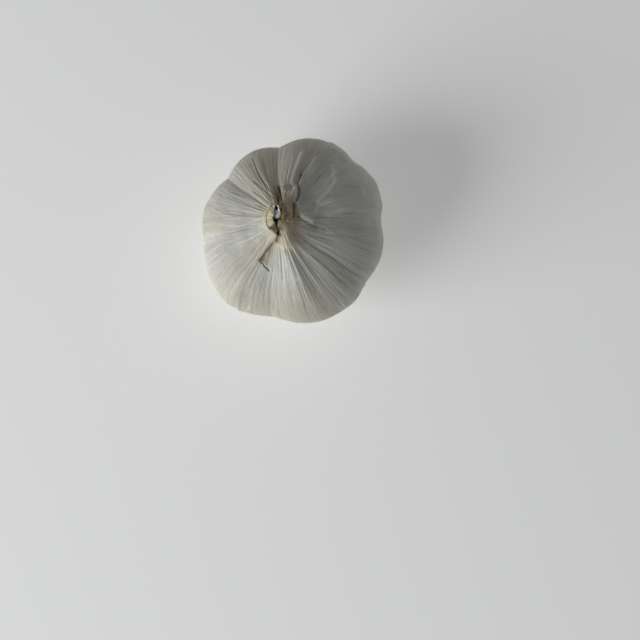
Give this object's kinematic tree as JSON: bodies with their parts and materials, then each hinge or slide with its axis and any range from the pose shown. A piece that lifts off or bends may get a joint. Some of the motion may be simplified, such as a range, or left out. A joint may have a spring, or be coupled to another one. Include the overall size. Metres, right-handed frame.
{
  "type": "garlic bulb",
  "caption": "Whole garlic bulb in papery leaf sheaths, with a short cut neck, a torn outer sheath and trimmed roots; stands on its root plate.",
  "frame": {"origin": "centre of the flat cut face under the root plate", "axes": "+Z from the root plate up to the neck; +X and +Y are level, with +Y away from a viewer who sees the neck lean to the left"},
  "size_m": [0.059, 0.0605, 0.0498],
  "materials": {
    "inner_skin": "satin, veined lengthwise, faint beige and mauve streaks",
    "outer_skin": "satin, veined lengthwise, off-white",
    "dried_neck": "matte, dry and fibrous, with brown edges",
    "root": "matte, corky, with a little soil"
  },
  "bodies": {
    "root": {"sheathed_cloves": "inner_skin", "outer_sheath": "outer_skin", "cut_sheath": "dried_neck", "dried_stem": "dried_neck", "root_plate": "root"}
  },
  "joints": []
}
